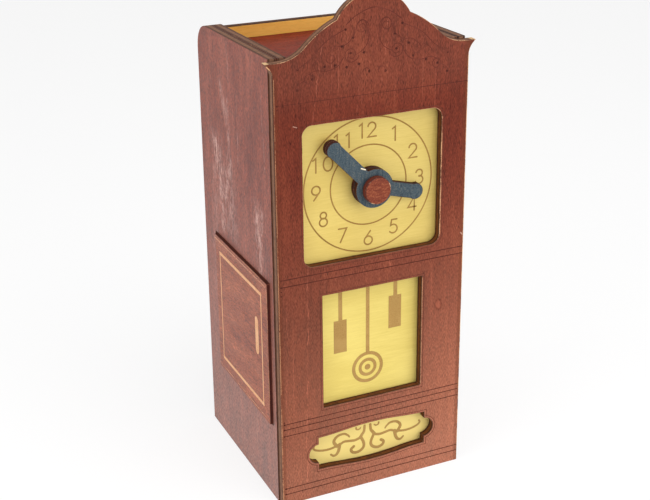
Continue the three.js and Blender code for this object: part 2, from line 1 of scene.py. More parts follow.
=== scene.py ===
# Looks of the clock diversion safe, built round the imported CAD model.
# Lengths are in millimetres unless a comment says metres. Colours inside srgb() run from 0 to 255,
# and colours written as plain tuples are linear.

import math

import bmesh
import bpy
from mathutils import Euler, Matrix, Vector


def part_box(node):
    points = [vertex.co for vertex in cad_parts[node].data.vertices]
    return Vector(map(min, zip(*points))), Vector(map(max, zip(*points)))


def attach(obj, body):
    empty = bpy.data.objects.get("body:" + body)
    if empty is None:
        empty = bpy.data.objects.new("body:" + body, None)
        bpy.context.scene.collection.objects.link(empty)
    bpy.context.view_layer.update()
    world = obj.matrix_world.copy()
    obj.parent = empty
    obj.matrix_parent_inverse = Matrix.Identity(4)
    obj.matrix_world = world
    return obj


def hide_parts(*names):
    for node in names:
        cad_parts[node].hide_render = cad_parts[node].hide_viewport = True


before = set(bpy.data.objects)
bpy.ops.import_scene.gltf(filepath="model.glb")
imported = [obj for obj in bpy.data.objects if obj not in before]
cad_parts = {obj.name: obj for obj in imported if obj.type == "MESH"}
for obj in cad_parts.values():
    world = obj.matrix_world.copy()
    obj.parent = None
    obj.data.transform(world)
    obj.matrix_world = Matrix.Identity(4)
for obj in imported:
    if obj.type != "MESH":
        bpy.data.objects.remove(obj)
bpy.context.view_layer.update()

MM = 0.001  # metres in a millimetre


def box_mm(node):
    """Lowest and highest corner of a CAD node in millimetres."""
    return [[c / MM for c in corner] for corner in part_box(node)]


# Planes and centres taken from the CAD nodes
front_low, front_high = box_mm("front_panel")
leaf_low, leaf_high = box_mm("door_leaf")
hand_low, hand_high = box_mm("minute_hand")
knob_low, knob_high = box_mm("knob")
FRONT_Y = front_low[1]
PLATE_Y = box_mm("dial_plate")[0][1]
PLATE_TOP_Z = box_mm("pendulum_plate")[1][2]
LEAF_X = leaf_low[0]
HAND_Y = hand_low[1]
DIAL_Z = (knob_low[2] + knob_high[2]) / 2
EAR_REACH = 2.7  # ears stand out past the edges of the front by this
EDGE_X = front_high[0] - EAR_REACH


def srgb(r, g, b):
    """Linear colour with alpha from 0 to 255 values."""
    channels = []
    for c in (r, g, b):
        c /= 255
        channels.append(c / 12.92 if c <= 0.04045 else ((c + 0.055) / 1.055) ** 2.4)
    return (*channels, 1.0)


def deeper(color, share=0.4):
    """Linear colour with a share of its light."""
    return tuple(share * c for c in color[:3]) + (1,)


# Node helpers
BLACK = (0, 0, 0, 1)
WHITE = (1, 1, 1, 1)
VEIN_SWAY = 2.6  # how far a vein wanders from its line
VEIN_END = 3  # length over which a vein fades at each end


class Shader:
    """A material with a Principled shader and short ways to add nodes."""

    def __init__(self, name):
        self.material = bpy.data.materials.new(name)
        self.material.use_nodes = True
        self.tree = self.material.node_tree
        self.bsdf = self.tree.nodes["Principled BSDF"]
        self.coord = self.tree.nodes.new("ShaderNodeTexCoord")

    def put(self, socket, value):
        """Link a socket to a node's output, or set its own value."""
        if isinstance(value, bpy.types.NodeSocket):
            self.tree.links.new(value, socket)
        else:
            socket.default_value = value

    def noise(self, size, detail=3.0, rough=0.55, distort=0.0, shift=(0, 0, 0)):
        """Noise whose features are about `size` millimetres long on each axis."""
        mapping = self.tree.nodes.new("ShaderNodeMapping")
        self.tree.links.new(self.coord.outputs["Object"], mapping.inputs["Vector"])
        mapping.inputs["Scale"].default_value = [1 / (s * MM) for s in size]
        mapping.inputs["Location"].default_value = shift
        noise = self.tree.nodes.new("ShaderNodeTexNoise")
        self.tree.links.new(mapping.outputs[0], noise.inputs["Vector"])
        noise.inputs["Scale"].default_value = 1.0
        noise.inputs["Detail"].default_value = detail
        noise.inputs["Roughness"].default_value = rough
        noise.inputs["Distortion"].default_value = distort
        return noise.outputs["Fac"]

    def math(self, op, a, b=0.0):
        node = self.tree.nodes.new("ShaderNodeMath")
        node.operation = op
        self.put(node.inputs[0], a)
        self.put(node.inputs[1], b)
        return node.outputs[0]

    def add(self, a, b):
        return self.math("ADD", a, b)

    def sub(self, a, b):
        return self.math("SUBTRACT", a, b)

    def mul(self, a, b):
        return self.math("MULTIPLY", a, b)

    def apart(self, a, b=0.0):
        """Distance between two values."""
        return self.math("ABSOLUTE", self.sub(a, b))

    def band(self, value, low, high, out_low=0.0, out_high=1.0):
        """Smooth step of a value between two limits."""
        node = self.tree.nodes.new("ShaderNodeMapRange")
        node.interpolation_type = "SMOOTHSTEP"
        self.put(node.inputs["Value"], value)
        node.inputs["From Min"].default_value = low
        node.inputs["From Max"].default_value = high
        node.inputs["To Min"].default_value = out_low
        node.inputs["To Max"].default_value = out_high
        return node.outputs["Result"]

    def level(self, value, low, high, out_low, out_high):
        """Straight change of a value between two limits."""
        result = self.band(value, low, high, out_low, out_high)
        result.node.interpolation_type = "LINEAR"
        return result

    def mix(self, fac, a, b, blend="MIX"):
        node = self.tree.nodes.new("ShaderNodeMix")
        node.data_type = "RGBA"
        node.blend_type = blend
        self.put(node.inputs[0], fac)
        self.put(node.inputs[6], a)
        self.put(node.inputs[7], b)
        return node.outputs[2]

    def tint(self, color, by):
        """Colour times a value or another colour."""
        return self.mix(1.0, color, by, "MULTIPLY")

    def lighten(self, color, amount, extra):
        """Colour plus a share of another colour."""
        return self.mix(1.0, color, self.mix(amount, BLACK, extra), "ADD")

    def axis(self, index):
        """Object coordinate on one axis, in millimetres."""
        node = self.tree.nodes.new("ShaderNodeSeparateXYZ")
        self.tree.links.new(self.coord.outputs["Object"], node.inputs[0])
        return self.mul(node.outputs[index], 1 / MM)

    def vein(self, across, along, start, end, width):
        """Mask of a soft line from start to end, each as (across, along) in millimetres."""
        (a0, b0), (a1, b1) = sorted((start, end), key=lambda point: point[1])
        slope = (a1 - a0) / (b1 - b0)
        sway = self.mul(self.sub(self.noise((7, 7, 7), 3.0, 0.6), 0.5), VEIN_SWAY)
        centre = self.add(self.mul(self.sub(along, b0), slope), a0)
        mask = self.band(self.apart(self.sub(across, centre), sway), 0.0, width, 1.0, 0.0)
        ends = self.mul(self.band(along, b0, b0 + VEIN_END), self.band(along, b1 - VEIN_END, b1, 1.0, 0.0))
        return self.mul(mask, ends)

    def attribute(self, name):
        node = self.tree.nodes.new("ShaderNodeAttribute")
        node.attribute_name = name
        return node.outputs["Fac"]

    def bump(self, height, strength, distance):
        node = self.tree.nodes.new("ShaderNodeBump")
        node.inputs["Strength"].default_value = strength
        node.inputs["Distance"].default_value = distance * MM
        self.tree.links.new(height, node.inputs["Height"])
        self.tree.links.new(node.outputs[0], self.bsdf.inputs["Normal"])

    def finish(self, color, rough, specular=0.35):
        self.put(self.bsdf.inputs["Base Color"], color)
        self.put(self.bsdf.inputs["Roughness"], rough)
        self.bsdf.inputs["Specular IOR Level"].default_value = specular
        return self.material


def lengths(grain, along, across):
    """Feature size on x, y and z for a grain that runs on one axis."""
    return [along if axis == grain else across for axis in "xyz"]


# Marks, painted light and painted shade of the front panel, by x and z; the sides share the height of the
# painted floor light
FLOOR_LIGHT_Z = (140, -20)  # painted light from the floor, growing from the first height to the second
LEAN_X = 37  # the painted light changes across the front between minus and plus this
# painted light and shade from the lamps: the floor light and the tone are weaker on the left and stronger
# on the right
FLOOR_LIGHT_LEAN = (0.78, 1.12)
PAINTED_LIGHT_LEAN = (0.93, 1.04)
CREST_LIGHTER_Z = (148, 164)  # the stain is lighter above
FOOT_LIGHT_Z = (32, 2)  # and painted light from the floor is added at the foot
FOOT_LIGHT = 1.3
# colour added on the crest, and as painted floor light at the foot
CREST_AND_FOOT_LIGHT = (0.023, 0.012, 0.008, 1)
SCORCH_X = 35.2  # the face is scorched past this
SCORCH_W = 0.7
SCORCH_SHARE = 0.35
SCORCHED = srgb(92, 46, 26)
KNOT_X, KNOT_Z = 27.2, 70.0
KNOT_RX, KNOT_RZ = 1.3, 2.0


def rubbed(s, color):
    """Stain with painted shade on the left and painted light on the right, lighter on the crest, and with
    painted light from the floor at the foot.
    """
    color = s.tint(color, s.level(s.axis(0), -LEAN_X, LEAN_X, *PAINTED_LIGHT_LEAN))
    amount = s.add(s.band(s.axis(2), *CREST_LIGHTER_Z), s.band(s.axis(2), *FOOT_LIGHT_Z, 0.0, FOOT_LIGHT))
    return s.lighten(color, amount, CREST_AND_FOOT_LIGHT)


def knotted(s, color, fibre, dark, pale):
    """Small knot: a dark ring round a pale heart, frayed by the fibres."""
    a = s.mul(s.sub(s.axis(0), KNOT_X), 1 / KNOT_RX)
    b = s.mul(s.sub(s.axis(2), KNOT_Z), 1 / KNOT_RZ)
    reach = s.math("SQRT", s.add(s.mul(a, a), s.mul(b, b)))
    reach = s.add(reach, s.mul(s.sub(fibre, 0.5), 1.2))
    color = s.mix(s.band(reach, 0.6, 1.1, 0.25, 0.0), color, pale)
    return s.mix(s.band(s.apart(reach, 1.0), 0.0, 0.4, 0.5, 0.0), color, dark)


def stained_veneer(name, grain, tones, streak=1.0, grit=0.3, mottle=0.12, rough=0.55, shift=0, painted_floor_light=None,
                   specular=0.3, veins=(), vein_axis=0, front=False):
    """Stained veneer: fine fibres, dark pores, pale streaks and soft tone changes.

    tones are dark, middle, light and pale. The colour added towards the foot is painted light from the
    floor.
    veins are lines where pale wood shows, placed by vein_axis and z. shift keeps two boards from
    having the same grain, and front adds the marks of the front panel."""
    dark, mid, light, pale = tones
    s = Shader(name)

    def noise(kind, along, across, *look):
        place = (shift + kind, shift * 2 + kind, kind * 3 + shift)
        return s.noise(lengths(grain, along, across), *look, shift=place)

    tone = noise(1, 46, 13, 2.0, 0.5)
    figure = noise(2, 30, 2.2, 4.0, 0.6, 0.4)
    fibre = noise(3, 3.2, 0.32, 3.0, 0.65)
    body = s.add(s.mul(tone, 0.9), s.mul(figure, 0.6))
    body = s.add(body, s.mul(fibre, 0.7))
    color = s.mix(s.band(body, 0.82, 1.12), dark, mid)
    color = s.mix(s.band(body, 1.08, 1.42), color, light)
    cloud = noise(4, 5.5, 2.6, 4.0, 0.65, 0.6)
    color = s.tint(color, s.level(cloud, 0.3, 0.7, 1 - mottle, 1 + mottle))
    pores = noise(5, 2.2, 0.26, 1.0, 0.5)
    rare = noise(6, 9, 1.6, 2.0, 0.5)
    pore = s.mul(s.band(pores, 0.58, 0.66), s.band(rare, 0.38, 0.56))
    color = s.mix(s.mul(pore, 0.7), color, deeper(dark))
    lines = noise(8, 70, 0.7, 2.0, 0.45, 0.15)
    color = s.mix(s.mul(s.band(lines, 0.68, 0.74), 0.35 * streak), color, pale)
    if veins:
        across, along = s.axis(vein_axis), s.axis(2)
        broken = s.band(noise(9, 5, 1.1, 4.0, 0.65, 0.5), 0.40, 0.62)
        for start, end, width, strength in veins:
            mask = s.mul(s.vein(across, along, start, end, width), broken)
            color = s.mix(s.mul(mask, strength), color, pale)
    # painted light from the floor, stronger towards the foot
    if painted_floor_light:
        amount = s.band(s.axis(2), *FLOOR_LIGHT_Z)
        # painted light from the lamps: less of the floor light on the left, more on the right
        if front:
            amount = s.mul(amount, s.level(s.axis(0), -LEAN_X, LEAN_X, *FLOOR_LIGHT_LEAN))
        color = s.lighten(color, amount, painted_floor_light)
    # painted shade on the left, painted light on the right and at the foot, and a lighter crest
    if front:
        color = rubbed(s, color)
    speck = noise(7, 1.1, 0.26, 1.0, 0.5)
    color = s.tint(color, s.level(speck, 0.3, 0.7, 1 - grit, 1 + grit))
    if front:
        color = knotted(s, color, fibre, dark, pale)
        edge = s.band(s.apart(s.axis(0)), SCORCH_X, SCORCH_X + SCORCH_W, 0.0, SCORCH_SHARE)
        color = s.mix(edge, color, SCORCHED)
    s.bump(s.sub(s.mul(fibre, 0.6), s.mul(pore, 0.8)), 0.35, 0.08)
    return s.finish(color, s.band(fibre, 0.3, 0.7, rough - 0.07, rough + 0.08), specular)


# Tips of the front panel's ears, where clean wood shows
EAR_X, EAR_Z = 37.9, 167.2
EAR_SOFT_X, EAR_SOFT_Z = 0.7, 1.0

# Share of a sheet's thickness, counted from its middle
SEAM_AT = 0.29
CORE_END = (0.27, 0.31)
CHARRED_RIM = (0.44, 0.5)


def cut_edge(name, face_ply, core, glue, char, rough=0.75, char_amount=0.35, tip=None):
    """Laser-cut plywood edge: two face plies, a core and dark glue lines between.

    tip is the colour of clean wood on the ears of the front panel."""
    s = Shader(name)
    mottled = s.noise((1.6, 1.6, 1.6), 3.0, 0.6)
    fine = s.noise((0.25, 0.25, 0.25), 2.0, 0.6, shift=(3, 1, 7))
    wobble = s.mul(s.sub(mottled, 0.5), 0.06)
    off = s.apart(s.add(s.attribute("ply"), wobble), 0.5)
    color = s.mix(s.band(off, *CORE_END), core, face_ply)
    seam = s.sub(1.0, s.band(s.apart(off, SEAM_AT), 0.02, 0.07))
    color = s.mix(s.mul(seam, 0.9), color, glue)
    color = s.mix(s.mul(s.band(off, *CHARRED_RIM), 0.6), color, char)
    color = s.mix(s.mul(s.band(mottled, 0.40, 0.68), char_amount), color, char)
    color = s.mix(s.mul(fine, 0.35), color, char)
    if tip:
        side = s.band(s.apart(s.axis(0)), EAR_X, EAR_X + EAR_SOFT_X)
        clean = s.mul(side, s.band(s.axis(2), EAR_Z, EAR_Z + EAR_SOFT_Z))
        color = s.mix(s.mul(clean, s.band(fine, 0.3, 0.6, 0.6, 1.0)), color, tip)
    s.bump(fine, 0.4, 0.08)
    return s.finish(color, rough, 0.2)


CALM_SHARE = 0.15  # how much is still rubbed off where an arris is calm


def worn_arris(name, pale, dark, share=0.5, size=9, calm=None):
    """Narrow rounded edge where the stain is partly rubbed off.

    calm is a half width and a height inside which little is rubbed off."""
    s = Shader(name)
    worn = s.noise((size, size, size), 4.0, 0.7)
    fine = s.noise((0.6, 0.6, 0.6), 2.0, 0.5)
    amount = s.add(s.mul(worn, 0.8), s.mul(fine, 0.3))
    edge = 0.40 + 0.3 * (1 - share)
    bare = s.band(amount, edge, edge + 0.14)
    if calm:
        half_width, height = calm
        inside = s.mul(s.band(s.apart(s.axis(0)), half_width, half_width + 1, 1.0, 0.0),
                       s.band(s.axis(2), height, height + 1, 1.0, 0.0))
        bare = s.mul(bare, s.level(inside, 0, 1, 1.0, CALM_SHARE))
    return s.finish(s.mix(bare, dark, pale), 0.6, 0.25)


# Changes of the yellow over the three plates: painted shade and painted light, and a greener tone below
# the dial
YELLOW_SHADE_UP = (30, 150, 1.01, 0.84)  # painted shade under the front panel, darker from the first height to the second
# painted shade, darker towards the right
YELLOW_SHADE_ACROSS = (-20, 20, 1.04, 0.95)
LEMON_Z = (98, 88)  # greener below the dial
LEMON = (1.0, 1.055, 1.03, 1)
PLAQUE_LIGHT_Z = (38, 22)  # painted light, paler on the plaque
PLAQUE_LIGHT_SHARE = 0.85
PLAQUE_LIT_YELLOW = srgb(230, 206, 126)


def yellow_veneer(name):
    """Yellow stained veneer with a quiet level grain."""
    s = Shader(name)
    tone = s.noise((30, 30, 14), 2.0, 0.5, shift=(4, 2, 9))
    fibre = s.noise((7, 7, 0.35), 4.0, 0.6, shift=(1, 5, 2))
    flecks = s.noise((1.4, 1.4, 0.14), 2.0, 0.5, shift=(7, 5, 1))
    body = s.add(s.mul(tone, 0.55), s.mul(fibre, 0.5))
    color = s.mix(s.band(body, 0.36, 0.70), srgb(214, 186, 97), srgb(226, 200, 112))
    color = s.mix(s.mul(s.band(flecks, 0.60, 0.72), 0.16), color, srgb(176, 146, 66))
    # painted shade by height and across, a greener tone below the dial, and painted light on the plaque
    color = s.tint(color, s.band(s.axis(2), *YELLOW_SHADE_UP))
    color = s.tint(color, s.level(s.axis(0), *YELLOW_SHADE_ACROSS))
    color = s.mix(s.band(s.axis(2), *LEMON_Z), color, s.tint(color, LEMON))
    color = s.mix(s.band(s.axis(2), *PLAQUE_LIGHT_Z, 0.0, PLAQUE_LIGHT_SHARE), color, PLAQUE_LIT_YELLOW)
    s.bump(fibre, 0.1, 0.05)
    return s.finish(color, s.band(fibre, 0.3, 0.7, 0.5, 0.62), 0.3)


def scored(name, dark, mid, pale, rough=0.8):
    """Laser-scored wood: scorched fibres with a speckle."""
    s = Shader(name)
    speck = s.noise((0.35, 0.35, 0.35), 3.0, 0.65, shift=(2, 8, 3))
    patch = s.noise((6, 6, 6), 2.0, 0.5, shift=(9, 4, 1))
    color = s.mix(s.band(speck, 0.36, 0.52), dark, mid)
    color = s.mix(s.mul(s.band(patch, 0.45, 0.65), 0.5), color, pale)
    s.bump(speck, 0.3, 0.05)
    return s.finish(color, rough, 0.15)


def stained_speckle(name, dark, mid, light, grain, rough=0.6):
    """Thin opaque stain over open grain, with dark and light speckle."""
    s = Shader(name)
    speck = s.noise((0.42, 0.42, 0.42), 1.0, 0.5, shift=(5, 1, 4))
    fibre = s.noise(lengths(grain, 2.4, 0.4), 2.0, 0.6, shift=(2, 6, 8))
    body = s.add(s.mul(speck, 0.55), s.mul(fibre, 0.5))
    color = s.mix(s.band(body, 0.40, 0.54), dark, mid)
    color = s.mix(s.band(body, 0.54, 0.68), color, light)
    s.bump(body, 0.35, 0.08)
    return s.finish(color, s.band(speck, 0.3, 0.7, rough - 0.08, rough + 0.08), 0.2)


def bare_veneer(name, grain, dark, light, rough=0.62):
    """Bare plywood face: pale veneer with soft grain and small dark flecks."""
    s = Shader(name)
    tone = s.noise(lengths(grain, 40, 8), 3.0, 0.5, 0.5, shift=(1, 3, 5))
    fibre = s.noise(lengths(grain, 5, 0.3), 4.0, 0.6, shift=(6, 2, 4))
    flecks = s.noise(lengths(grain, 1.6, 0.16), 2.0, 0.5, shift=(3, 3, 8))
    body = s.add(s.mul(tone, 0.6), s.mul(fibre, 0.45))
    color = s.mix(s.band(body, 0.36, 0.68), dark, light)
    color = s.mix(s.mul(s.band(flecks, 0.62, 0.74), 0.35), color, deeper(dark))
    s.bump(fibre, 0.25, 0.06)
    return s.finish(color, s.band(fibre, 0.3, 0.7, rough - 0.05, rough + 0.08), 0.3)


def steel_wire(name):
    """Drawn steel, with fine marks round the wire."""
    s = Shader(name)
    fine = s.noise((2.5, 2.5, 0.1), 2.0, 0.5)
    s.bsdf.inputs["Metallic"].default_value = 1.0
    color = s.mix(fine, srgb(168, 168, 164), srgb(204, 204, 200))
    return s.finish(color, s.band(fine, 0.3, 0.7, 0.25, 0.45), 0.5)


def felt(name):
    """Dark felt with a fuzzy face."""
    s = Shader(name)
    fuzz = s.noise((0.18, 0.18, 0.18), 3.0, 0.7)
    s.bump(fuzz, 0.9, 0.2)
    return s.finish(s.mix(fuzz, srgb(40, 34, 33), srgb(84, 74, 70)), 0.95, 0.1)


# Pale lines in the stain: start, end, width and strength, the front's by x and z, the side's by y and z
FRONT_VEINS = (
    ((-18.8, 177), (-23.8, 144), 0.35, 0.4), ((-25.4, 98), (-27.2, 6), 0.4, 0.42),
    ((-15.4, 175), (-16.4, 156), 0.3, 0.3), ((5.4, 182), (3.0, 158), 0.4, 0.45),
    ((-4.6, 163), (-7.0, 148), 0.5, 0.4), ((7.0, 94), (6.6, 87), 0.3, 0.6),
    ((-1.0, 36), (-2.6, 2), 0.4, 0.5), ((33.0, 60), (32.6, 28), 0.3, 0.25),
    ((-34.0, 80), (-34.6, 40), 0.3, 0.3), ((23.0, 65.6), (24.8, 69.8), 0.8, 0.8))
SIDE_VEINS = (
    ((14.5, 153), (7.0, 134), 3.6, 0.5), ((6.6, 148), (7.0, 122), 2.4, 0.45),
    ((22.0, 129), (17.4, 114), 5.6, 0.8), ((17.0, 119), (15.6, 90), 2.8, 0.65),
    ((4.4, 125), (14.8, 104), 4.4, 0.6), ((7.0, 114), (6.0, 98), 3.6, 0.35),
    ((-19.0, 115), (-21.6, 98), 4.4, 0.75), ((-24.4, 115), (-22.6, 100), 2.6, 0.6),
    ((-21.6, 103), (-21.8, 86), 2.4, 0.65), ((-2.4, 152), (-2.4, 120), 0.5, 0.4),
    ((-26.0, 160), (-28.4, 128), 0.5, 0.4), ((5.6, 169), (5.0, 150), 1.2, 0.25),
    ((24.0, 118), (26.0, 60), 5.0, 0.2), ((20.5, 132), (14.0, 92), 10.0, 0.3),
    ((8.0, 126), (4.0, 90), 9.0, 0.26), ((-20.0, 118), (-22.0, 88), 8.0, 0.26))

# Stained, bare and yellow faces
STAIN_FRONT = stained_veneer(
    "front_stain", "z", (srgb(86, 34, 22), srgb(105, 44, 29), srgb(120, 56, 37), srgb(184, 100, 76)),
    mottle=0.05, streak=0.5, painted_floor_light=(0.205, 0.100, 0.062, 1), specular=0.08, veins=FRONT_VEINS, front=True)
SIDE_LOOK = {
    "grain": "z", "tones": (srgb(102, 42, 30), srgb(128, 61, 44), srgb(146, 78, 60), srgb(204, 160, 148)),
    "grit": 0.5, "mottle": 0.24, "rough": 0.5, "painted_floor_light": (0.10, 0.095, 0.085, 1), "specular": 0.25}
STAIN_SIDE = stained_veneer("side_stain", **SIDE_LOOK, streak=0.4, shift=4, veins=SIDE_VEINS, vein_axis=1)
STAIN_SIDE_RIGHT = stained_veneer("side_stain_right", **SIDE_LOOK, streak=0.8, shift=31)
STAIN_DOOR = stained_veneer(
    "door_stain", "y", (srgb(122, 60, 42), srgb(152, 84, 60), srgb(172, 101, 75), srgb(214, 150, 118)),
    streak=0.5, grit=0.42, mottle=0.18, rough=0.5, shift=9, specular=0.2)
STAIN_TRAY = stained_veneer(
    "tray_stain", "x", (srgb(100, 34, 18), srgb(130, 47, 27), srgb(152, 62, 38), srgb(178, 96, 70)),
    streak=0.4, specular=0.12, shift=14)
STAIN_INNER = stained_veneer(
    "inner_stain", "z", (srgb(92, 36, 24), srgb(124, 56, 40), srgb(146, 74, 56), srgb(180, 104, 82)),
    streak=0.4, shift=19)
# very pale: partly the veneer's own colour, partly painted light for the back's strip inside the tray,
# which lies in shade
BARE = bare_veneer("bare_back", "x", srgb(243, 176, 76), srgb(254, 198, 98))
PALE = bare_veneer("pale_ply", "z", srgb(188, 150, 106), srgb(214, 180, 136))
DOWEL = bare_veneer("dowel_wood", "y", srgb(186, 148, 100), srgb(212, 178, 132))
YELLOW = yellow_veneer("yellow_stain")
BLUE = stained_speckle("blue_stain", srgb(42, 54, 62), srgb(59, 73, 81), srgb(88, 91, 87), "z")
RED = stained_speckle("knob_stain", srgb(98, 38, 20), srgb(118, 52, 29), srgb(144, 78, 48), "x")

# Cut edges: face ply, core, glue line and char
EDGE_TONES = (srgb(114, 74, 54), srgb(148, 106, 80), srgb(44, 24, 18), srgb(52, 28, 20))
EDGE = cut_edge("ply_edge", *EDGE_TONES)
EDGE_FRONT = cut_edge("front_edge", *EDGE_TONES, tip=srgb(234, 196, 146))
EDGE_DARK = cut_edge(
    "burnt_edge", srgb(80, 44, 22), srgb(98, 58, 29), srgb(42, 22, 11), srgb(38, 19, 10), 0.8, 0.6)
EDGE_HOLE = cut_edge(
    "opening_edge", srgb(86, 44, 16), srgb(112, 62, 24), srgb(44, 22, 8), srgb(38, 18, 7), 0.8, 0.5)
EDGE_DOOR = cut_edge(
    "door_edge", srgb(96, 44, 34), srgb(112, 56, 42), srgb(54, 20, 16), srgb(48, 18, 14), 0.75, 0.5)
EDGE_HAND = cut_edge(
    "hand_edge", srgb(58, 21, 11), srgb(70, 27, 14), srgb(36, 13, 7), srgb(32, 12, 7), 0.8, 0.5)
EDGE_KNOB = cut_edge(
    "knob_edge", srgb(104, 44, 30), srgb(112, 50, 34), srgb(74, 28, 18), srgb(62, 24, 16), 0.7, 0.3)

# Arrises: worn and stained colour, share that is worn and size of the worn stretches
ARRIS = worn_arris("worn_arris", srgb(200, 152, 112), srgb(90, 52, 38), 0.78, calm=(35, 96))
ARRIS_SOFT = worn_arris("worn_arris_soft", srgb(196, 144, 110), srgb(70, 36, 27), 0.45)
ARRIS_DOOR = worn_arris("door_arris", srgb(214, 160, 122), srgb(138, 84, 64), 0.7, 14)
ARRIS_DARK = worn_arris("dark_arris", srgb(120, 82, 58), srgb(34, 18, 13), 0.2)
ARRIS_MINUTE = worn_arris("hand_arris", srgb(188, 142, 94), srgb(58, 62, 72), 0.8, 6)
ARRIS_HOUR = worn_arris("hour_arris", srgb(112, 64, 42), srgb(48, 40, 42), 0.4, 6)
ARRIS_KNOB = worn_arris("knob_arris", srgb(214, 170, 130), srgb(78, 30, 20), 0.55, 4)
WORN_LINE = worn_arris("worn_line", srgb(200, 148, 106), srgb(112, 60, 40), 0.85, 7)
RIM_LINE = worn_arris("rim_line", srgb(214, 160, 124), srgb(158, 98, 74), 0.8, 8)

# Scored lines and small marks
SCORE_DARK = scored("dark_score", srgb(48, 18, 13), srgb(70, 30, 22), srgb(90, 42, 30))
SCORE_FAINT = scored("faint_score", srgb(74, 30, 22), srgb(92, 42, 31), srgb(114, 56, 43))
SCORE_SOFT = scored("soft_score", srgb(72, 32, 24), srgb(92, 46, 34), srgb(110, 60, 44))
SCORE_DIAL = scored("dial_score", srgb(132, 98, 48), srgb(152, 116, 60), srgb(168, 132, 70))
SCORE_FILL = scored("fill_score", srgb(150, 115, 62), srgb(171, 135, 78), srgb(182, 147, 88))
SCORE_PALE = scored("pale_score", srgb(214, 154, 112), srgb(234, 181, 138), srgb(245, 199, 157), 0.65)
NICK = scored("nick", srgb(142, 98, 82), srgb(170, 128, 110), srgb(196, 158, 136))
DARK_TIP = scored("dark_tip", srgb(34, 11, 5), srgb(48, 17, 8), srgb(60, 24, 12))
CHIP = scored("chip", srgb(214, 196, 158), srgb(234, 218, 184), srgb(240, 228, 200))

STEEL = steel_wire("steel_wire")
FELT = felt("felt")


# Piece helpers
SAME_POINT = 2e-6  # metres within which vertices are one
FLAT_ANGLE = 0.4  # degrees under which faces are joined
SHARP_ANGLE = 32  # degrees above which an edge is shaded sharp
EASED_ANGLE = 40  # and above which it is eased
LOW_FACE, HIGH_FACE, CUT, EASED, HOLE = range(5)  # material slots of a dressed sheet

# Widths of the eased arrises
BEVEL = 0.16
FRONT_BEVEL, SIDE_BEVEL, PLATE_BEVEL, PAD_BEVEL = 0.24, 0.2, 0.1, 0.1
DOOR_BEVEL, PIN_BEVEL = 0.35, 0.08
FENCE_BEVEL, RING_BEVEL, TUBE_BEVEL = 0.12, 0.12, 0.1
HAND_BEVEL, KNOB_BEVEL = 0.18, 0.28


def show(obj):
    bpy.context.scene.collection.objects.link(obj)


def dressed(node, body, axis, faces, edge, arris, bevel=BEVEL, hole_edge=None):
    """Copy of a CAD sheet with eased arrises. faces are the low and the high face's materials."""
    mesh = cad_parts[node].data.copy()
    mesh.name = node + "_dressed"
    bm = bmesh.new()
    bm.from_mesh(mesh)
    bmesh.ops.remove_doubles(bm, verts=bm.verts, dist=SAME_POINT)
    bmesh.ops.dissolve_limit(bm, angle_limit=math.radians(FLAT_ANGLE), verts=bm.verts, edges=bm.edges)
    mesh.materials.clear()
    for material in (faces[0], faces[1], edge, arris, hole_edge or edge):
        mesh.materials.append(material)
    low = Vector([min(v.co[i] for v in bm.verts) for i in range(3)])
    high = Vector([max(v.co[i] for v in bm.verts) for i in range(3)])
    centre = (low + high) / 2
    thin = "xyz".index(axis)
    for face in bm.faces:
        face.smooth = True
        facing = face.normal[thin]
        if abs(facing) > 0.9:
            face.material_index = HIGH_FACE if facing > 0 else LOW_FACE
        else:
            inward = face.normal.dot(face.calc_center_median() - centre) < -1e-4
            face.material_index = HOLE if inward else CUT
    layer = bm.verts.layers.float.new("ply")
    for v in bm.verts:
        v[layer] = (v.co[thin] - low[thin]) / (high[thin] - low[thin])
    bm.to_mesh(mesh)
    bm.free()
    mesh.set_sharp_from_angle(angle=math.radians(SHARP_ANGLE))
    obj = bpy.data.objects.new(node + "_piece", mesh)
    show(obj)
    eased = obj.modifiers.new("eased", "BEVEL")
    eased.width = bevel * MM
    eased.segments = 2
    eased.limit_method = "ANGLE"
    eased.angle_limit = math.radians(EASED_ANGLE)
    eased.material = EASED
    eased.harden_normals = False
    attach(obj, body)
    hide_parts(node)


def pale_board(node, body, axis="y", bevel=BEVEL):
    """Unstained plywood with burnt edges, as used inside."""
    dressed(node, body, axis, (PALE, PALE), EDGE_DARK, ARRIS_DARK, bevel)


def plain(node, body, axis, material, bevel):
    """Piece of one material all over."""
    dressed(node, body, axis, (material, material), material, material, bevel)


def smooth_path(points, steps=8):
    """Open curve through the points, with even tangents at each."""
    out = []
    last = len(points) - 1
    for i in range(last):
        p = [points[min(max(i + k, 0), last)] for k in (-1, 0, 1, 2)]
        for j in range(steps):
            t = j / steps
            out.append(tuple(0.5 * (
                2 * p[1][a] + (p[2][a] - p[0][a]) * t
                + (2 * p[0][a] - 5 * p[1][a] + 4 * p[2][a] - p[3][a]) * t * t
                + (3 * p[1][a] - p[0][a] - 3 * p[2][a] + p[3][a]) * t ** 3) for a in (0, 1)))
    out.append(tuple(points[-1]))
    return out


def arc(cx, cz, radius, start, end, steps=24, squash=1.0):
    """Points on a circle, angles in degrees from +x towards +z."""
    angles = [math.radians(start + (end - start) * i / steps) for i in range(steps + 1)]
    return [(cx + radius * squash * math.cos(a), cz + radius * math.sin(a)) for a in angles]


def circle(cx, cz, radius, steps):
    """Points all round a circle, with the first one not repeated."""
    return arc(cx, cz, radius, 0, 360, steps)[:-1]


def spiral(cx, cz, r0, r1, start, turns, steps=40):
    """Points on a spiral from radius r0 to r1."""
    out = []
    for i in range(steps + 1):
        t = i / steps
        r = r0 + (r1 - r0) * t
        a = math.radians(start + 360 * turns * t)
        out.append((cx + r * math.cos(a), cz + r * math.sin(a)))
    return out


def mirrored(paths):
    """The paths and their mirror images in the plane x = 0."""
    return paths + [[(-x, z) for x, z in path] for path in paths]


# Inlays lie just over the face that they mark, each stroke on a layer of its own
LIFT = 0.02
LAYER = 0.003
LAYERS = 11
MITRE = 2.0  # a ribbon widens up to this at a sharp corner


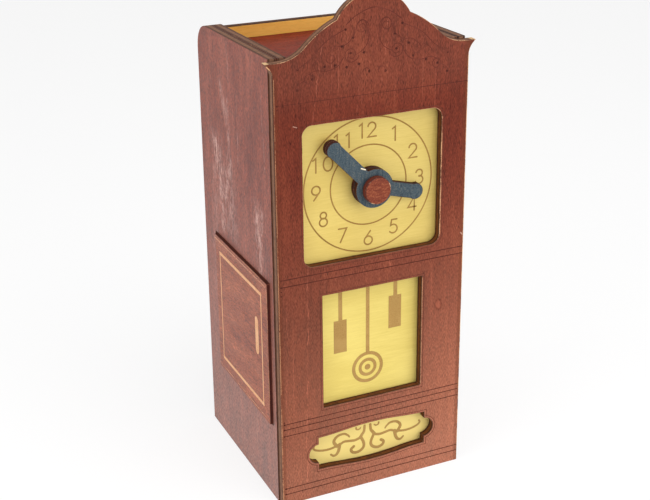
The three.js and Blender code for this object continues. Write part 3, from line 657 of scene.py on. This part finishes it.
class Inlay:
    """Flat marks that lie on a face of the object, drawn in two coordinates."""

    def __init__(self, place):
        self.place = place
        self.layer = 0
        self.verts = []
        self.faces = []

    def add(self, points, faces):
        base = len(self.verts)
        self.layer = (self.layer + 1) % LAYERS
        self.verts += [self.place(a, b, LIFT + self.layer * LAYER) for a, b in points]
        self.faces += [tuple(base + i for i in face) for face in faces]

    def line(self, path, width, closed=False, taper=(1.0, 1.0), caps=True):
        """Ribbon along a path, with round ends and a width that may taper."""
        count = len(path)
        left, right = [], []
        for i, (a, b) in enumerate(path):
            before = path[i - 1] if i or closed else path[i]
            after = path[(i + 1) % count] if i < count - 1 or closed else path[i]
            d1 = Vector((a - before[0], b - before[1]))
            d2 = Vector((after[0] - a, after[1] - b))
            d1 = d1.normalized() if d1.length > 1e-9 else d2.normalized()
            d2 = d2.normalized() if d2.length > 1e-9 else d1
            along = d1 + d2
            along = along.normalized() if along.length > 1e-6 else d1
            out = Vector((-along.y, along.x))
            reach = min(1 / max(out.dot(Vector((-d1.y, d1.x))), 0.3), MITRE)
            share = i / (count - 1)
            half = width / 2 * (taper[0] + (taper[1] - taper[0]) * share) * reach
            left.append((a + out.x * half, b + out.y * half))
            right.append((a - out.x * half, b - out.y * half))
        spans = count if closed else count - 1
        self.add(left + right, [(i, (i + 1) % count, count + (i + 1) % count, count + i)
                                for i in range(spans)])
        if caps and not closed:
            self.dot(*path[0], width / 2 * taper[0])
            self.dot(*path[-1], width / 2 * taper[1])

    def dot(self, a, b, radius, steps=14):
        self.add(circle(a, b, radius, steps), [tuple(range(steps))])

    def patch(self, a0, b0, a1, b1):
        self.add([(a0, b0), (a1, b0), (a1, b1), (a0, b1)], [(0, 1, 2, 3)])

    def crescent(self, a, b, radius, angle, depth, steps=24):
        """Part of a disc that lies past an equal disc, moved back by depth against angle."""
        turn = math.radians(angle)
        outer = arc(a, b, radius, angle - 90, angle + 90, steps)
        inner = [(x - depth * math.cos(turn), z - depth * math.sin(turn)) for x, z in outer]
        count = len(outer)
        self.add(outer + inner, [(i, i + 1, count + i + 1, count + i) for i in range(count - 1)])

    def build(self, name, material, body):
        mesh = bpy.data.meshes.new(name)
        mesh.from_pydata([tuple(c * MM for c in v) for v in self.verts], [], self.faces)
        mesh.materials.append(material)
        mesh.update()
        obj = bpy.data.objects.new(name, mesh)
        show(obj)
        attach(obj, body)


def on_front(x, z, lift):
    return (x, FRONT_Y - lift, z)


def on_plate(x, z, lift):
    return (x, PLATE_Y - lift, z)


def on_hand(x, z, lift):
    return (x, HAND_Y - lift, z)


def on_door(y, z, lift):
    return (LEAF_X - lift, y, z)


def opening_rims(node):
    """Rims of the openings in a sheet's front face, the narrowest opening first, as x and z."""
    bm = bmesh.new()
    bm.from_mesh(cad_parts[node].data)
    bmesh.ops.remove_doubles(bm, verts=bm.verts, dist=SAME_POINT)
    front = {face for face in bm.faces if face.normal.y < -0.9}
    joined = {}
    for edge in bm.edges:
        if sum(face in front for face in edge.link_faces) == 1:
            a, b = edge.verts
            joined.setdefault(a, []).append(b)
            joined.setdefault(b, []).append(a)
    rims = []
    left = set(joined)
    while left:
        rim = [left.pop()]
        while True:
            ahead = [v for v in joined[rim[-1]] if v in left]
            if not ahead:
                break
            left.remove(ahead[0])
            rim.append(ahead[0])
        rims.append([(v.co.x / MM, v.co.z / MM) for v in rim])
    bm.free()
    rims.sort(key=lambda rim: max(x for x, z in rim) - min(x for x, z in rim))
    return rims[:-1]  # the widest is the sheet's own rim


def grown(loop, reach):
    """Closed loop moved outwards by a distance."""
    count = len(loop)
    ahead = loop[1:] + loop[:1]
    area = sum(x0 * z1 - x1 * z0 for (x0, z0), (x1, z1) in zip(loop, ahead))
    side = 1 if area > 0 else -1
    out = []
    for i, (x, z) in enumerate(loop):
        before, after = loop[i - 1], loop[(i + 1) % count]
        d1 = Vector((x - before[0], z - before[1])).normalized()
        d2 = Vector((after[0] - x, after[1] - z)).normalized()
        n1, n2 = Vector((d1.y, -d1.x)), Vector((d2.y, -d2.x))
        n = (n1 + n2).normalized()
        shift = side * reach / max(n.dot(n1), 0.5)
        out.append((x + n.x * shift, z + n.y * shift))
    return out


# Sheets of the case
INNER = (STAIN_INNER, STAIN_INNER)
TRAY = (STAIN_TRAY, STAIN_TRAY)
LEFT_SIDE = (STAIN_SIDE, STAIN_INNER)
RIGHT_SIDE = (STAIN_INNER, STAIN_SIDE_RIGHT)
dressed("front_panel", "case", "y", (STAIN_FRONT, STAIN_INNER), EDGE_FRONT, ARRIS,
        FRONT_BEVEL, hole_edge=EDGE_HOLE)
dressed("outer_side_left", "case", "x", LEFT_SIDE, EDGE, ARRIS_DARK, SIDE_BEVEL)
dressed("outer_side_right", "case", "x", RIGHT_SIDE, EDGE, ARRIS_DARK, SIDE_BEVEL)
for node in ("inner_side_left", "inner_side_right"):
    dressed(node, "case", "x", INNER, EDGE, ARRIS_SOFT, SIDE_BEVEL)
dressed("back_panel", "case", "y", (BARE, STAIN_TRAY), EDGE_DARK, ARRIS_DARK)
for node in ("base_board", "middle_shelf", "tray_floor"):
    dressed(node, "case", "z", TRAY, EDGE, ARRIS_SOFT)
for node in ("dial_plate", "pendulum_plate", "plaque_plate"):
    dressed(node, "case", "y", (YELLOW, YELLOW), EDGE_DARK, ARRIS_DARK, PLATE_BEVEL)
for node in ("compartment_divider", "movement_plate", "bar_guide_left", "bar_guide_right", "bar_keeper"):
    pale_board(node, "case")
for node in ("door_bumper_top", "door_bumper_bottom"):
    plain(node, "case", "x", FELT, PAD_BEVEL)

# Door
LEAF = (STAIN_DOOR, STAIN_INNER)
dressed("door_leaf", "door", "x", LEAF, EDGE_DOOR, ARRIS_DOOR, DOOR_BEVEL)
pale_board("door_backing", "door", "x")
pale_board("door_hook", "door")
for node in ("hinge_pin_top", "hinge_pin_bottom"):
    plain(node, "door", "z", STEEL, PIN_BEVEL)

# Lock
for node in ("lock_bar", "lock_arm", "lock_rail_left", "lock_rail_right"):
    pale_board(node, "lock")
pale_board("lock_pull", "lock", "z")
plain("fence_pin", "lock", "y", DOWEL, FENCE_BEVEL)

# Hands and what turns with them
HAND = (BLUE, PALE)
dressed("hour_hand", "hour", "y", HAND, EDGE_HAND, ARRIS_HOUR, HAND_BEVEL)
plain("hour_tube", "hour", "y", DOWEL, TUBE_BEVEL)
for node in ("hour_disc", "hour_ring"):
    pale_board(node, "hour", bevel=RING_BEVEL)
dressed("minute_hand", "minute", "y", HAND, EDGE_HAND, ARRIS_MINUTE, HAND_BEVEL)
dressed("knob", "minute", "y", (RED, RED), EDGE_KNOB, ARRIS_KNOB, KNOB_BEVEL)
plain("minute_shaft", "minute", "y", DOWEL, TUBE_BEVEL)
for node in ("minute_ring", "minute_disc", "shaft_collar"):
    pale_board(node, "minute", bevel=RING_BEVEL)

# Scored lines across the front, with the small starting dots at their ends
LINE_W = 0.3
LINE_HEIGHTS = (155.3, 91.9, 89.2, 34.2, 32.0, 29.3, 6.9, 4.5)
SPARE_DOT_HEIGHTS = (87.6, 85.9, 153.9, 35.1)
LINE_X0, LINE_X1 = -EDGE_X + 1.0, EDGE_X - 0.4
FAINT_Z = 100  # a line above this is thinner, and fades to the left
FAINT_SHARE = 0.7
START_X, END_X = LINE_X0 + 0.3, LINE_X1 - 0.2  # middles of the dots
START_R, DOT_R = 0.34, 0.26
lines = Inlay(on_front)
line_dots = Inlay(on_front)
for z in LINE_HEIGHTS:
    faint = z > FAINT_Z
    width = LINE_W * (FAINT_SHARE if faint else 1)
    lines.line([(LINE_X0, z), (LINE_X1, z)], width, caps=False, taper=(0.5 if faint else 1.0, 1.0))
    line_dots.dot(START_X, z, START_R)
    line_dots.dot(END_X, z, DOT_R)
for z in SPARE_DOT_HEIGHTS:
    line_dots.dot(START_X, z, DOT_R)
lines.build("front_lines", SCORE_DARK, "case")
line_dots.build("front_line_dots", SCORE_DARK, "case")

# Scored scrollwork under the crest
ARCH_W, CREST_W = 0.32, 0.3
CREST_DOT_R = 0.46
CREST_ARCH = ((-10.3, 180.3), (-6.3, 183.2), (0, 185.2), (6.3, 183.2), (10.3, 180.3))
CREST_SCROLLS = [
    smooth_path([(11.1, 178.6), (18.0, 175.2), (23.5, 170.0), (29.1, 166.5)]),
    spiral(4.6, 178.9, 2.7, 0.7, 200, -1.6),
    smooth_path([(2.1, 178.0), (1.9, 175.0), (3.6, 171.6), (7.2, 169.4)]),
    smooth_path([(2.4, 176.4), (3.0, 180.2), (4.8, 181.4), (6.6, 179.3), (7.7, 175.6)]),
    spiral(8.6, 169.9, 2.9, 0.8, 190, 1.7),
    smooth_path([(7.4, 179.0), (8.0, 175.8), (10.8, 173.4), (14.4, 173.0), (16.6, 171.4)]),
    spiral(16.0, 169.4, 2.1, 0.6, 75, -1.4),
    smooth_path([(11.4, 169.2), (13.6, 166.4), (17.6, 165.2), (21.6, 165.8), (24.2, 164.9)]),
    arc(24.2, 163.2, 1.6, 90, 430),
    arc(2.9, 163.3, 1.3, 200, -40),
    smooth_path([(25.9, 162.8), (28.0, 161.6), (29.2, 159.6)]),
    smooth_path([(19.2, 170.6), (21.6, 169.2), (23.0, 167.0)]),
]
CREST_DOTS = (
    (-7.8, 175.6), (7.9, 175.4), (-12.0, 173.0), (8.5, 170.1), (13.2, 171.6), (-14.7, 166.8),
    (15.0, 166.9), (-8.8, 170.4), (-3.8, 170.1), (-5.6, 166.3), (-10.3, 165.7), (-1.8, 163.4),
    (-22.9, 163.0), (-28.2, 166.9), (-28.5, 159.8), (28.5, 159.8), (4.4, 162.8), (20.0, 165.0),
    (24.6, 163.2), (-18.4, 166.8), (10.7, 178.7), (-10.6, 178.6), (28.6, 166.6))
crest = Inlay(on_front)
crest.line(smooth_path(CREST_ARCH), ARCH_W)
for path in mirrored(CREST_SCROLLS):
    crest.line(path, CREST_W, taper=(1.0, 0.7))
crest.build("crest_scrolls", SCORE_FAINT, "case")
crest_dots = Inlay(on_front)
for x, z in CREST_DOTS:
    crest_dots.dot(x, z, CREST_DOT_R)
crest_dots.build("crest_scroll_dots", SCORE_DARK, "case")

# Scored outlines round the three openings
OUTLINE_GAP, OUTLINE_W = 0.9, 0.22
window_rim, plaque_rim, dial_rim = opening_rims("front_panel")
outlines = Inlay(on_front)
for rim in (window_rim, plaque_rim, dial_rim):
    outlines.line(grown(rim, OUTLINE_GAP), OUTLINE_W, closed=True)
outlines.build("opening_outlines", SCORE_SOFT, "case")

# Small nicks where bare wood shows: both ends and the width
NICKS = (((-30.2, 147.5), (-28.9, 147.0), 0.34), ((36.0, 97.4), (36.6, 96.7), 0.5))
nicks = Inlay(on_front)
for start, end, width in NICKS:
    nicks.line([start, end], width)
nicks.build("front_nicks", NICK, "case")

# Edges where the stain is rubbed off: both sides, the left ear, and the right of two openings
WEAR_W, THIN_WEAR_W, EAR_WEAR_W = 0.2, 0.16, 0.4
WEAR_FOOT, WEAR_TOP = 1.5, 164.5
LEFT_WEAR_X, RIGHT_WEAR_X = -EDGE_X + 0.33, EDGE_X - 0.3
EAR_WEAR = [(-39.3, 169.2), (-38.2, 168.0)]
RIM_GAP = 0.25  # from an opening's rim
wear = Inlay(on_front)
wear.line([(LEFT_WEAR_X, WEAR_FOOT), (LEFT_WEAR_X, WEAR_TOP)], WEAR_W, taper=(1.0, 0.5))
wear.line(EAR_WEAR, EAR_WEAR_W)
wear.line([(RIGHT_WEAR_X, WEAR_FOOT), (RIGHT_WEAR_X, WEAR_TOP)], THIN_WEAR_W)
for rim, corner, width in ((dial_rim, 3.5, WEAR_W), (window_rim, 0.5, THIN_WEAR_W)):
    x = max(x for x, z in rim) + RIM_GAP
    low, high = min(z for x, z in rim) + corner, max(z for x, z in rim) - corner
    wear.line([(x, low), (x, high)], width)
wear.build("front_edge_wear", WORN_LINE, "case")

# Dial: two circles and the plain numbers one to twelve
DIAL_X = -0.2
DIAL_RADII = (14.9, 25.15)
CIRCLE_W = 0.55
NUMBER_R = 20.3
NUMBER_W = 0.6
TALL = 5.2  # height of a digit
GLYPHS = {
    "0": [arc(0, TALL / 2, TALL / 2, 0, 360, 32, 0.68)],
    "1": [[(-0.75, 4.45), (0.35, TALL), (0.35, 0)]],
    "2": [arc(0, 3.7, 1.5, 172, -38, 22) + [(-1.6, 0), (1.7, 0)]],
    "3": [arc(0, 3.9, 1.3, 165, -90, 22), arc(0, 1.3, 1.5, 90, -160, 22, 1.05)],
    "4": [[(0.95, 0), (0.95, TALL), (-1.65, 1.35), (1.7, 1.35)]],
    "5": [[(1.35, TALL), (-0.75, TALL), (-1.15, 3.0)] + arc(-0.15, 1.65, 1.65, 122, -145, 24)],
    "6": [arc(0, 1.6, 1.6, 0, 360, 30), [(-1.35, 2.45), (0.85, TALL)]],
    "7": [[(-1.6, TALL), (1.6, TALL), (-0.9, 0)]],
    "8": [arc(0, 4.0, 1.2, 0, 360, 26), arc(0, 1.4, 1.5, 0, 360, 28)],
    "9": [arc(0, 3.6, 1.6, 0, 360, 30), [(1.35, 2.75), (-0.85, 0)]],
}
PAIRS = {"10": (-3.1, 1.9), "11": (-2.3, 2.2), "12": (-2.9, 1.2)}  # x of both digits in a number
ALONE = (-0.1,)  # and of a digit alone
dial = Inlay(on_plate)
for radius in DIAL_RADII:
    dial.line(circle(DIAL_X, DIAL_Z, radius, 120), CIRCLE_W, closed=True)
for number in range(1, 13):
    angle = math.radians(90 - 30 * number)
    cx = DIAL_X + NUMBER_R * math.cos(angle)
    cz = DIAL_Z + NUMBER_R * math.sin(angle) - TALL / 2
    for digit, dx in zip(str(number), PAIRS.get(str(number), ALONE)):
        for path in GLYPHS[digit]:
            dial.line([(cx + dx + x, cz + z) for x, z in path], NUMBER_W)
dial.build("dial_marks", SCORE_DIAL, "case")

# Two weights on their cords, and the pendulum with its bob
MIDDLE_X = -0.45  # of the pendulum and of the plaque's scrolls
CORD_W, ROD_W = 1.6, 1.5
WEIGHT_W, WEIGHT_H = 5.25, 13.2
WEIGHTS = ((-11.55, -11.625, 70.0), (10.9, 10.775, 75.7))  # cord's middle, weight's middle and its top
BOB_Z = 48.4
BOB_RINGS = ((5.75, 1.35, 64), (3.1, 1.3, 48))  # radius, width and steps
BOB_DOT_R = 1.2
ROD_END_Z = BOB_Z + 6.3
CORD_TOP_Z = PLATE_TOP_Z - 0.2
pendulum = Inlay(on_plate)
for cord_x, weight_x, top in WEIGHTS:
    pendulum.patch(cord_x - CORD_W / 2, top, cord_x + CORD_W / 2, CORD_TOP_Z)
    pendulum.patch(weight_x - WEIGHT_W / 2, top - WEIGHT_H, weight_x + WEIGHT_W / 2, top)
pendulum.patch(MIDDLE_X - ROD_W / 2, ROD_END_Z, MIDDLE_X + ROD_W / 2, CORD_TOP_Z)
for radius, width, steps in BOB_RINGS:
    pendulum.line(circle(MIDDLE_X, BOB_Z, radius, steps), width, closed=True)
pendulum.dot(MIDDLE_X, BOB_Z, BOB_DOT_R, 30)
pendulum.build("pendulum_marks", SCORE_FILL, "case")

# Scrolls on the plaque plate, the right half as points, width and taper
PLAQUE_SCROLLS = (
    ([(1.2, 23.4), (1.45, 21.1), (2.25, 19.9), (3.0, 18.8)], 1.1, (0.8, 1.1)),
    ([(2.9, 18.7), (5.3, 18.1), (7.8, 18.4), (9.9, 18.6), (12.0, 17.8), (15.7, 17.0), (19.1, 17.2),
      (21.6, 18.0), (22.6, 19.0), (22.3, 19.8)], 0.9, (1.1, 0.8)),
    ([(2.6, 18.5), (1.6, 16.2), (1.6, 14.4), (2.8, 13.1), (4.7, 12.6), (6.4, 13.2), (6.9, 14.5),
      (5.8, 15.5)], 1.15, (0.9, 0.9)),
    ([(12.8, 17.4), (14.1, 19.5), (13.4, 21.1), (11.8, 22.0), (9.7, 22.0), (8.3, 21.1), (7.6, 20.2)],
     1.0, (1.2, 0.6)),
    ([(11.7, 17.9), (12.1, 15.6), (12.9, 14.1), (14.2, 13.6), (15.4, 14.5)], 1.0, (1.3, 0.7)),
    ([(2.9, 22.9), (3.6, 22.4), (4.6, 22.6), (4.8, 23.4)], 0.8, (0.6, 0.8)),
)
SCROLL_GAIN = 1.15  # on each width
scroll = Inlay(on_plate)
for side in (-1, 1):
    for path, width, taper in PLAQUE_SCROLLS:
        points = [(MIDDLE_X + side * x, z) for x, z in smooth_path(path, steps=7)]
        scroll.line(points, SCROLL_GAIN * width, taper=taper)
scroll.build("plaque_scrolls", SCORE_FILL, "case")

# Scored frame of the door
FRAME_Y0, FRAME_Y1 = leaf_low[1] + 5.8, leaf_high[1] - 6.4
FRAME_Z0, FRAME_Z1 = leaf_low[2] + 5.6, leaf_high[2] - 6.2
FRAME_WIDTHS = (0.72, 1.3, 0.8, 1.35)  # rear, lower, front and upper line
corners = [(FRAME_Y1, FRAME_Z1), (FRAME_Y1, FRAME_Z0), (FRAME_Y0, FRAME_Z0), (FRAME_Y0, FRAME_Z1)]
door_frame = Inlay(on_door)
for i, width in enumerate(FRAME_WIDTHS):
    door_frame.line([corners[i], corners[(i + 1) % 4]], width)
door_frame.build("door_frame_line", SCORE_PALE, "door")

# Scored handle bar of the door
BAR_Y, BAR_Z0, BAR_Z1 = FRAME_Y0 + 4.95, 57.2, 69.4
BAR_W = 3.1
bar = Inlay(on_door)
bar.line([(BAR_Y, BAR_Z0), (BAR_Y, BAR_Z1)], BAR_W)
bar.build("door_handle_bar", SCORE_PALE, "door")

# Worn lines along the door's upper and lower edges: height and width
RIM_WEAR = ((leaf_high[2] - 1.5, 0.36), (leaf_low[2] + 1.2, 0.3))
RIM_Y0, RIM_Y1 = leaf_low[1] + 1.4, leaf_high[1] - 1.2
rim_wear = Inlay(on_door)
for z, width in RIM_WEAR:
    rim_wear.line([(RIM_Y1, z), (RIM_Y0, z)], width)
rim_wear.build("door_rim_wear", RIM_LINE, "door")

# Chip in the stain where the minute hand leaves its hub
CHIP_ENDS = [(-5.3, 129.15), (-3.7, 128.5)]
CHIP_W = 0.42
chip = Inlay(on_hand)
chip.line(CHIP_ENDS, CHIP_W)
chip.build("minute_hand_chip", CHIP, "minute")

# Dark crescent at the end of the minute hand
HAND_END_R = 3.0
DARK_TIP_R = 2.98
DARK_TIP_DEPTH = 1.05
tip_x, tip_z = hand_low[0] + HAND_END_R, hand_high[2] - HAND_END_R
hand_turn = math.degrees(math.atan2(tip_z - DIAL_Z, tip_x))
tip_crescent = Inlay(on_hand)
tip_crescent.crescent(tip_x, tip_z, DARK_TIP_R, hand_turn, DARK_TIP_DEPTH)
tip_crescent.build("minute_hand_dark_tip", DARK_TIP, "minute")

# Camera
CAMERA_AT = (-194.43, -426.89, 283.09)
CAMERA_TURN = (68.29715, 0.03455, -25.76029)  # degrees about x, y and z
camera_data = bpy.data.cameras.new("camera")
camera_data.sensor_width = 36
camera_data.lens = 73.26
camera_data.shift_x = -0.05
camera_data.shift_y = -0.05
camera_data.clip_start = 0.01
camera_data.clip_end = 100
camera = bpy.data.objects.new("camera", camera_data)
show(camera)
camera_turn = Euler([math.radians(a) for a in CAMERA_TURN])
camera.matrix_world = Matrix.LocRotScale(Vector(CAMERA_AT) * MM, camera_turn, None)
bpy.context.scene.camera = camera


def background_mask(tree, light_path):
    """1 for the rays that see a white background: the camera's, glossy ones and those through glass."""
    mask = light_path.outputs["Is Camera Ray"]
    for other in ("Is Glossy Ray", "Is Transmission Ray"):
        top = tree.nodes.new("ShaderNodeMath")
        top.operation = "MAXIMUM"
        tree.links.new(mask, top.inputs[0])
        tree.links.new(light_path.outputs[other], top.inputs[1])
        mask = top.outputs[0]
    return mask


# Floor, which shows white to the camera and keeps the shadow
FLOOR_HALF = 12.0  # metres
FLOOR_SEEN = (0.26, 0.26, 0.26, 1)  # to the camera, under the glow
FLOOR_GLOW = 0.77
FLOOR_BOUNCE = (0.84, 0.84, 0.84, 1)  # to all other rays, so that it lights the object
FLOOR_ROUGH, FLOOR_GLOSS = 0.9, 0.1
floor_shader = Shader("floor")
tree = floor_shader.tree
light_path = tree.nodes.new("ShaderNodeLightPath")
tone = floor_shader.mix(light_path.outputs["Is Camera Ray"], FLOOR_BOUNCE, FLOOR_SEEN)
floor_shader.finish(tone, FLOOR_ROUGH, FLOOR_GLOSS)
glow = tree.nodes.new("ShaderNodeEmission")
glow.inputs["Color"].default_value = WHITE
seen = background_mask(tree, light_path)
floor_shader.put(glow.inputs["Strength"], floor_shader.mul(seen, FLOOR_GLOW))
both = tree.nodes.new("ShaderNodeAddShader")
tree.links.new(floor_shader.bsdf.outputs[0], both.inputs[0])
tree.links.new(glow.outputs[0], both.inputs[1])
tree.links.new(both.outputs[0], tree.nodes["Material Output"].inputs["Surface"])
floor_corners = [(x * FLOOR_HALF, y * FLOOR_HALF, 0) for x, y in ((-1, -1), (1, -1), (1, 1), (-1, 1))]
floor_mesh = bpy.data.meshes.new("floor")
floor_mesh.from_pydata(floor_corners, [], [(0, 1, 2, 3)])
floor_mesh.materials.append(floor_shader.material)
floor = bpy.data.objects.new("floor", floor_mesh)
show(floor)

# World: white to the camera, a soft grey light for the object
SKY_LIGHT = 0.38
SKY_SEEN = 0.97
world = bpy.data.worlds.new("world")
bpy.context.scene.world = world
world.use_nodes = True
tree = world.node_tree
sky = tree.nodes["Background"]
sky.inputs["Color"].default_value = WHITE
strength = tree.nodes.new("ShaderNodeMapRange")
seen = background_mask(tree, tree.nodes.new("ShaderNodeLightPath"))
tree.links.new(seen, strength.inputs["Value"])
strength.inputs["To Min"].default_value = SKY_LIGHT
strength.inputs["To Max"].default_value = SKY_SEEN
tree.links.new(strength.outputs["Result"], sky.inputs["Strength"])

# Lamps: place, aim and size in metres, power in watts
LAMPS = {
    "lamp_left": ((-0.8, -0.2, 0.35), (0, 0, 0.07), 0.7, 3.4),
    "lamp_front": ((0.32, -0.59, 0.1), (0, 0, 0.0), 0.75, 4.8),
    "lamp_top": ((0.0, -0.42, 1.0), (0, 0, 0.12), 0.8, 4.0),
}
for name, (at, aim, size, power) in LAMPS.items():
    data = bpy.data.lights.new(name, "AREA")
    data.size = size
    data.energy = power
    lamp = bpy.data.objects.new(name, data)
    lamp.location = at
    lamp.rotation_mode = "QUATERNION"
    lamp.rotation_quaternion = (Vector(aim) - Vector(at)).to_track_quat("-Z", "Y")
    show(lamp)

bpy.context.scene.view_settings.view_transform = "Standard"
